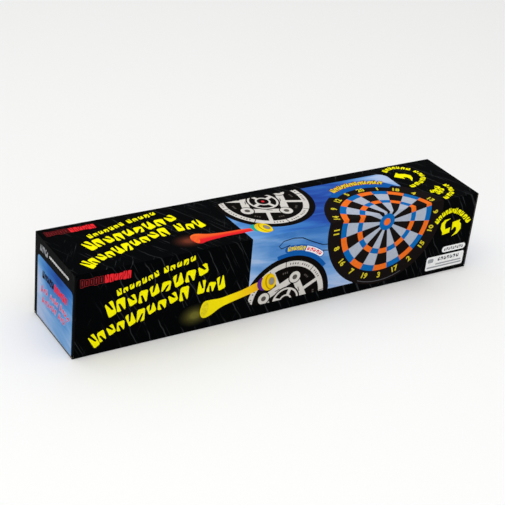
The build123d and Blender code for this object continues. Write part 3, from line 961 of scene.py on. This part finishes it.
def build_rolled_board():
    middle = (0, DISC_MIDDLE)
    joins = math.degrees(math.asin(50 / DISC_RADIUS))
    outline = [(50, 0), (50, 17)] + arc(middle, DISC_RADIUS, joins, 360 - joins, 3) + [(-50, 17), (-50, 0)]
    bends = [((-240, 4.0 * number), (240, 4.0 * number)) for number in range(1, 125)]
    dial_inks = ("sheet_black", "sheet_pale", "sheet_blue", "sheet_orange", "sheet_yellow")
    # x runs left when the outer face is seen with its header up, so the dial is laid out the other way round
    outer_art = [("sheet_black", outline)] + [(ink, [(-x, y) for x, y in shape])
                                              for ink, shape in dial(middle, DISC_RADIUS - 4, dial_inks, 6)]
    inner_art = [("sheet_black", outline)] + wheel_target(
        middle, DISC_RADIUS - 4, 154, ("sheet_black", "sheet_white", "sheet_pale", "sheet_red"), 12)
    for holed in (outer_art, inner_art):
        holed += eyelet_holes()
    outer = cut_print(outline, outer_art, bends)
    inner = cut_print(outline, inner_art, bends)
    make_sheet("rolled_dartboard", outer, inner, rolled_place, "sheet_edge", "packed_set", ["dartboard_sheet"],
               35)


def build_header_band():
    """The woven band over the board's tab, hemmed with two rows of pale stitches."""
    outline = [(-50, 1), (50, 1), (50, 31), (-50, 31)]
    bends = [((-60, 1 + 1.5 * number), (60, 1 + 1.5 * number)) for number in range(1, 20)]
    art = [("band_weave", outline)]
    for row in (3.0, 29.0):
        for number in range(23):
            left = -48.2 + 4.2 * number
            art.append(("band_stitch", rounded_box(left, row - 0.3, left + 2.6, row + 0.3, (0.25,) * 4)))
    art += eyelet_holes()

    def place(x, y, depth):
        reach = ROLL_RADIUS + SHEET / 2 + 0.95 - 0.9 * depth
        angle = y / ROLL_RADIUS
        return (x, reach * math.sin(angle), ROLL_AXIS + reach * math.cos(angle))

    face = cut_print(outline, art, bends)
    make_sheet("woven_header_band", face, face, place, "band_weave", "packed_set", ["header_strip"], 35)


def build_leaflet():
    """The rules sheet, folded into four layers. Grey bars stand in for its print, with a small plain dial."""
    width, pitch, thick, layers = 33.4, 0.3, 0.14, 4
    low, high = (Vector(corner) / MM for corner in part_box("rules_leaflet"))
    middle = (low + high) / 2
    bend = pitch / 2
    one = width + math.pi * bend
    length = layers * width + (layers - 1) * math.pi * bend
    outline = [(-74, 0), (74, 0), (74, length), (-74, length)]
    bends = []
    for layer in range(layers - 1):
        for part in range(5):
            y = layer * one + width + part * math.pi * bend / 4
            bends.append(((-80, y), (80, y)))
    art = [("leaflet_white", outline)]
    for layer in range(layers):
        top = layer * one + 4
        art.append(("leaflet_grey", rounded_box(-66, top, -30, top + 2.2, (0.5,) * 4)))
        for row in range(6):
            for column in range(2):
                left = -66 + 52 * column
                right = left + 46 - 7 * ((row + layer) % 3)
                art.append(("leaflet_grey", rounded_box(left, top + 5 + 3.4 * row, right, top + 6 + 3.4 * row,
                                                        (0.4,) * 4)))
        for ink, radius, step in (("leaflet_grey", 10, 15), ("leaflet_white", 8.8, 15),
                                  ("leaflet_grey", 3.2, 20)):
            art.append((ink, disc((56, top + 12), radius, step)))

    def place(x, y, depth):
        layer = min(int(y // one), layers - 1)
        way = -1 if layer % 2 else 1
        run = y - layer * one
        rise = (layer - (layers - 1) / 2) * pitch
        turn = max(0.0, run - width) / bend if layer < layers - 1 else 0.0
        across = way * (min(run, width) - width / 2 + bend * math.sin(turn))
        rise += bend * (1 - math.cos(turn))
        out = (0.5 - depth) * thick
        across += math.sin(turn) * out
        rise -= way * math.cos(turn) * out
        lean = math.sqrt(0.5)
        return (middle.x + x, middle.y + lean * (across - rise), middle.z - lean * (across + rise))

    face = cut_print(outline, art, bends)
    make_sheet("folded_rules_leaflet", face, face, place, "leaflet_white", "packed_set", ["rules_leaflet"])


DARTS, RED_DARTS = 6, 3  # all the darts, and how many of them are red and lie the other way


def tail_profile():
    """Distance from the dart's tip, and radius: the peg, the ringed neck, the flare, the lip and the dish."""
    profile = [(22.0, 0.0), (22.0, 4.2), (22.8, 5.0), (38.0, 5.0), (38.0, 6.2), (38.6, 6.6)]
    ring_depth, ring_pitch = 0.32, 6
    for number in range(1, 73):
        here = 38.6 + 1.5 * number
        share = (here - 38) / 110
        wave = max(0.0, math.cos(2 * math.pi * (here - 46) / ring_pitch))
        ring = ring_depth * wave ** 2 if 43 < here < 67 else 0.0
        profile.append((here, 6.7 + 9.2 * share ** 2.1 - ring))
    profile += [(149.0, 15.8), (149.7, 15.2), (150.0, 14.4), (149.9, 13.6), (149.3, 12.9), (148.2, 12.3),
                (147.4, 11.4), (147.1, 10.0), (147.0, 5.4), (147.3, 4.8), (148.1, 4.4), (148.4, 3.6), (148.4, 0.0)]
    return profile


def build_dart_tail(number):
    """One soft moulded tail. Ten shallow flutes run up its flare."""
    low, high = (Vector(corner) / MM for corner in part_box(f"dart_{number}_tail"))
    middle = (low + high) / 2
    start, way = (low.x, 1) if number <= RED_DARTS else (high.x, -1)
    sides, flutes, made, rings = 60, 10, bmesh.new(), []
    for along, radius in tail_profile():
        x = start + way * (along - 22)
        if radius == 0:
            rings.append([made.verts.new(Vector((x, middle.y, middle.z)) * MM)])
            continue
        fluted = 0.05 * min(max((along - 70) / 60, 0), 1) * (radius > 12 or along < 148)
        ring = []
        for side in range(sides):
            angle = 2 * math.pi * side / sides + math.radians(17 * number)
            reach = radius * (1 - fluted * (0.5 - 0.5 * math.cos(flutes * 2 * math.pi * side / sides)))
            ring.append(made.verts.new(Vector((x, middle.y + reach * math.cos(angle),
                                               middle.z + reach * math.sin(angle))) * MM))
        rings.append(ring)
    for near, far in zip(rings, rings[1:]):
        for side in range(sides):
            after = (side + 1) % sides
            if len(near) == 1:
                made.faces.new((near[0], far[after], far[side]))
            elif len(far) == 1:
                made.faces.new((near[side], near[after], far[0]))
            else:
                made.faces.new((near[side], near[after], far[after], far[side]))
    foam = "tail_red_foam" if number <= RED_DARTS else "tail_yellow_foam"
    finish_piece(f"dart_{number}_soft_tail", made, [foam], "packed_set", [f"dart_{number}_tail"], 50)


def dress(node, finish):
    """Gives a CAD node that keeps its shape its real finish."""
    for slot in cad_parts[node].material_slots:
        slot.material = finish


def build_contents():
    build_rolled_board()
    build_header_band()
    build_leaflet()
    for number in range(1, DARTS + 1):
        build_dart_tail(number)
        dress(f"dart_{number}_bulb", INK["bulb_moulding"])
        dress(f"dart_{number}_magnet", INK["magnet_nickel"])
        collar = "collar_teal_moulding" if number <= RED_DARTS else "collar_purple_moulding"
        dress(f"dart_{number}_collar", INK[collar])
    for side in ("left", "right"):
        dress(f"{side}_eyelet", INK["eyelet_nickel_plate"])


# ---------------------------------------------------------------- finishes of the contents
def solid_place(material):
    """The place on a solid piece, in millimetres."""
    spot = add_node(material, "TexCoord")
    return add_node(material, "VectorMath", {1: (1000, 1000, 1000)}, {0: spot.outputs["Object"]},
                    operation="MULTIPLY").outputs[0]


def moulded_plastic(name, colour, roughness, ridge=0.0):
    """Injection-moulded ABS: a clear gloss with slight flow marks, handling haze, and rings if the mould has any.

    Flow marks run about 6 mm and the haze 3 mm, their real sizes. ridge is the strength of 5.5 mm rings."""
    material = new_material(name)
    place = solid_place(material)
    flow = add_node(material, "TexNoise", {"Scale": 1 / 6.0, "Detail": 3.0, "Distortion": 0.8},
                    {"Vector": place})
    haze = add_node(material, "TexNoise", {"Scale": 1 / 3.0, "Detail": 4.0}, {"Vector": place})
    mixed = add_node(material, "Mix", {6: linear(between(colour, "#000000", 0.10)), 7: linear(colour)},
                     {0: flow.outputs[0]}, data_type="RGBA")
    gloss = add_node(material, "MapRange", {"To Min": roughness - 0.06, "To Max": roughness + 0.1},
                     {"Value": haze.outputs[0]})
    raised = add_node(material, "Bump", {"Strength": 0.06, "Distance": 0.0003}, {"Height": haze.outputs[0]})
    if ridge:
        rings = add_node(material, "TexWave", {"Scale": 0.314 / 5.5, "Distortion": 0.0}, {"Vector": place},
                         wave_type="BANDS", bands_direction="X")
        raised = add_node(material, "Bump", {"Strength": ridge, "Distance": 0.0006},
                          {"Height": rings.outputs[1], "Normal": raised.outputs[0]})
    shader = add_node(material, "BsdfPrincipled", {"IOR": 1.53, "Specular IOR Level": 0.5, "Coat Weight": 0.25,
                                                   "Coat Roughness": 0.12},
                      {"Base Color": mixed.outputs[2], "Roughness": gloss.outputs[0],
                       "Normal": raised.outputs[0]})
    return finish_material(material, shader)


def moulded_foam(name, colour, shade):
    """Moulded EVA foam: matt and softly mottled. Its closed pores are about 0.4 mm and are drawn at 1.1 mm."""
    material = new_material(name)
    place = solid_place(material)
    cloud = add_node(material, "TexNoise", {"Scale": 1 / 9.0, "Detail": 4.0}, {"Vector": place})
    mixed = add_node(material, "Mix", {6: linear(shade), 7: linear(colour)}, {0: cloud.outputs[0]},
                     data_type="RGBA")
    pores = add_node(material, "TexVoronoi", {"Scale": 1 / 1.1, "Randomness": 1.0}, {"Vector": place})
    raised = add_node(material, "Bump", {"Strength": 0.28, "Distance": 0.0003}, {"Height": pores.outputs[0]})
    shader = add_node(material, "BsdfPrincipled", {"IOR": 1.48, "Specular IOR Level": 0.25, "Roughness": 0.74,
                                                   "Sheen Weight": 0.12, "Sheen Roughness": 0.5},
                      {"Base Color": mixed.outputs[2], "Normal": raised.outputs[0]})
    return finish_material(material, shader)


def nickel_plate(name, colour, roughness):
    """Bright nickel plate, rubbed dull in small clouds about 2 mm across."""
    material = new_material(name)
    place = solid_place(material)
    clouds = add_node(material, "TexNoise", {"Scale": 1 / 2.0, "Detail": 5.0}, {"Vector": place})
    dull = add_node(material, "MapRange", {"To Min": roughness - 0.08, "To Max": roughness + 0.16},
                    {"Value": clouds.outputs[0]})
    mixed = add_node(material, "Mix", {6: linear(between(colour, "#5C5348", 0.22)), 7: linear(colour)},
                     {0: clouds.outputs[0]}, data_type="RGBA")
    shader = add_node(material, "BsdfPrincipled", {"Metallic": 1.0},
                      {"Base Color": mixed.outputs[2], "Roughness": dull.outputs[0]})
    return finish_material(material, shader)


def woven_band(name, colour, shade):
    """Plain-woven polyester band: threads that cross over and under, 0.5 mm apart and drawn 1.3 mm apart. Its
    colour is painted darker where the weave is low, as painted shade in the hollows between the threads, with a
    little random fibre tone.
    """
    material = new_material(name)
    place = print_place(material)
    warp = add_node(material, "TexWave", {"Scale": 0.314 / 1.3}, {"Vector": place}, wave_type="BANDS",
                    bands_direction="X")
    weft = add_node(material, "TexWave", {"Scale": 0.314 / 1.3}, {"Vector": place}, wave_type="BANDS",
                    bands_direction="Y")
    crossing = add_node(material, "Math", links={0: warp.outputs[1], 1: weft.outputs[1]}, operation="MULTIPLY")
    fuzz = add_node(material, "TexNoise", {"Scale": 1 / 0.8, "Detail": 3.0}, {"Vector": place})
    height = add_node(material, "Math", {1: 0.3}, {0: fuzz.outputs[0], 2: crossing.outputs[0]},
                      operation="MULTIPLY_ADD")
    # painted shade: the low parts of the weave take the darker colour, and the fuzz adds a little random fibre
    # tone
    mixed = add_node(material, "Mix", {6: linear(shade), 7: linear(colour)}, {0: height.outputs[0]},
                     data_type="RGBA")
    raised = add_node(material, "Bump", {"Strength": 0.5, "Distance": 0.0004}, {"Height": height.outputs[0]})
    shader = add_node(material, "BsdfPrincipled", {"IOR": 1.52, "Specular IOR Level": 0.25, "Roughness": 0.8,
                                                   "Sheen Weight": 0.25, "Sheen Roughness": 0.4},
                      {"Base Color": mixed.outputs[2], "Normal": raised.outputs[0]})
    return finish_material(material, shader)


# ---------------------------------------------------------------- inks and board
def mix_inks():
    for name, slants, strength, grain in (
            ("top", [(-66, 52, 1.25, 0.68), (58, 34, 1.3, 0.70)], 0.26, 0.13),
            ("front", [(-62, 70, 1.15, 0.69), (66, 44, 1.2, 0.73)], 0.22, 0.17),
            ("end", [(-64, 30, 1.5, 0.66), (62, 22, 1.2, 0.69)], 0.12, 0.0)):
        INK[f"ground_{name}"] = scuffed_ground(f"flood_black_{name}", slants, strength, grain)
    INK["board_black"] = solid_ink("flood_black_flap", "#0B0C0D")
    INK["sky"] = sky_print(
        "sky_print", [(0.0, "#213C90"), (0.22, "#2A52A8"), (0.42, "#3B75BE"), (0.62, "#568CCB"), (0.82, "#7FA8DB"),
                      (1.0, "#AFC3E4")], (318, 48), (178, 145), (440, 30), 62, 0.4)
    INK["end_sky"] = sky_print(
        "end_sky_print", [(0.0, "#1F4DA2"), (0.3, "#3470BE"), (0.55, "#5C98D2"), (0.82, "#8DB4E0"),
                          (1.0, "#B4C4E4")], (62, 18), (82, 92), (10, 55), 26, 0.4)
    INK["trail_brown"] = fading_trail("trail_brown", (141, 77.5), (22, 15), "#6E3524")
    INK["trail_olive"] = fading_trail("trail_olive", (142, 180), (22, 15.5), "#67632A")
    INK["dart_red"] = shaded_ink("dart_red_print", (180, 68), (180, 87), [(0.0, "#F8702C"), (0.42, "#F4562A"),
                                                                         (0.62, "#E8252A"), (1.0, "#D8202A")])
    INK["dart_red_end"] = solid_ink("dart_red_end_print", "#F2602B", 0.14)
    INK["dart_yellow"] = shaded_ink("dart_yellow_print", (152, 172), (223, 164), [
        (0.0, "#F2E010"), (0.4, "#FBE60E"), (0.68, "#F8D014"), (0.88, "#F2BC1A"), (1.0, "#E4A21E")])
    INK["dart_yellow_end"] = solid_ink("dart_yellow_end_print", "#E3D01E", 0.16)
    INK["bulb_print"] = shaded_ink("bulb_yellow_print", (228, 70), (242, 92), [(0.0, "#D9B51C"), (0.4, "#F3DC14"),
                                                                           (1.0, "#EFC80F")])
    for name, colour in (
            ("title_yellow", "#FFF405"), ("mark_red", "#EA2A31"), ("mark_shade", "#1C0D0E"),
            ("mark_outline", "#8E2226"),
            ("collar_teal_print", "#1FA49A"), ("collar_purple_print", "#5B2A8A"), ("bulb_print_dark", "#B98E12"),
            ("magnet_print", "#8C8880"), ("target_black", "#0D0A09"), ("target_white", "#D2CEC8"),
            ("target_grey", "#55504C"), ("target_red", "#D81F2A"), ("dial_black", "#171211"),
            ("dial_pale", "#AEB6C6"), ("dial_blue", "#0C67B2"), ("dial_orange", "#F07023"),
            ("dial_yellow", "#D8C62C"), ("dial_rim", "#55565A"), ("header_blue", "#1158A6"),
            ("lettering_gold", "#E2C832"), ("tag_white", "#EDEFF4"),
            ("cord_print", "#14161C"), ("label_white", "#F2F2F2"), ("label_grey", "#4A4C50"),
            ("label_pale", "#9DA0A4"), ("end_glow", "#93A8DC"), ("script_red", "#F0585A")):
        INK[name] = solid_ink(f"{name}_ink", colour)
    for name, colour in (
            ("sheet_black", "#151214"), ("sheet_pale", "#A9B1C0"), ("sheet_blue", "#0C62AA"),
            ("sheet_orange", "#E96A20"), ("sheet_yellow", "#D2BF2C"), ("sheet_white", "#DEDCD8"),
            ("sheet_red", "#CC2028")):
        INK[name] = solid_ink(f"{name}_screen_print", colour, 0.1)
    INK["sheet_edge"] = solid_ink("magnetic_rubber_edge", "#3A3634", 0.2)
    INK["band_weave"] = woven_band("woven_band_blue", "#1D5CB0", "#0C3670")
    INK["band_stitch"] = woven_band("band_stitching_pale", "#D8DCE4", "#A4ABBA")
    INK["bulb_moulding"] = moulded_plastic("bulb_abs_yellow", "#F0CB10", 0.24, 0.5)
    INK["collar_teal_moulding"] = moulded_plastic("collar_abs_teal", "#1FA49A", 0.3)
    INK["collar_purple_moulding"] = moulded_plastic("collar_abs_purple", "#5B2A8A", 0.3)
    INK["magnet_nickel"] = nickel_plate("magnet_nickel_plate", "#B9B6B0", 0.26)
    INK["eyelet_nickel_plate"] = nickel_plate("eyelet_nickel_plate", "#CFC9BE", 0.22)
    INK["tail_red_foam"] = moulded_foam("tail_eva_foam_red", "#F2502A", "#DB2A26")
    INK["tail_yellow_foam"] = moulded_foam("tail_eva_foam_yellow", "#F4D912", "#E0B014")
    INK["leaflet_white"] = grey_board("leaflet_uncoated_paper", "#E4E3DE")
    INK["leaflet_grey"] = grey_board("leaflet_grey_print", "#6C6E72")
    INK["board_inside"] = grey_board("grey_board_inside", "#B9B2A6")
    INK["inked_edge"] = grey_board("inked_board_cut_edge", "#17161A")


set_camera()
set_studio()
mix_inks()
build_carton()
build_contents()
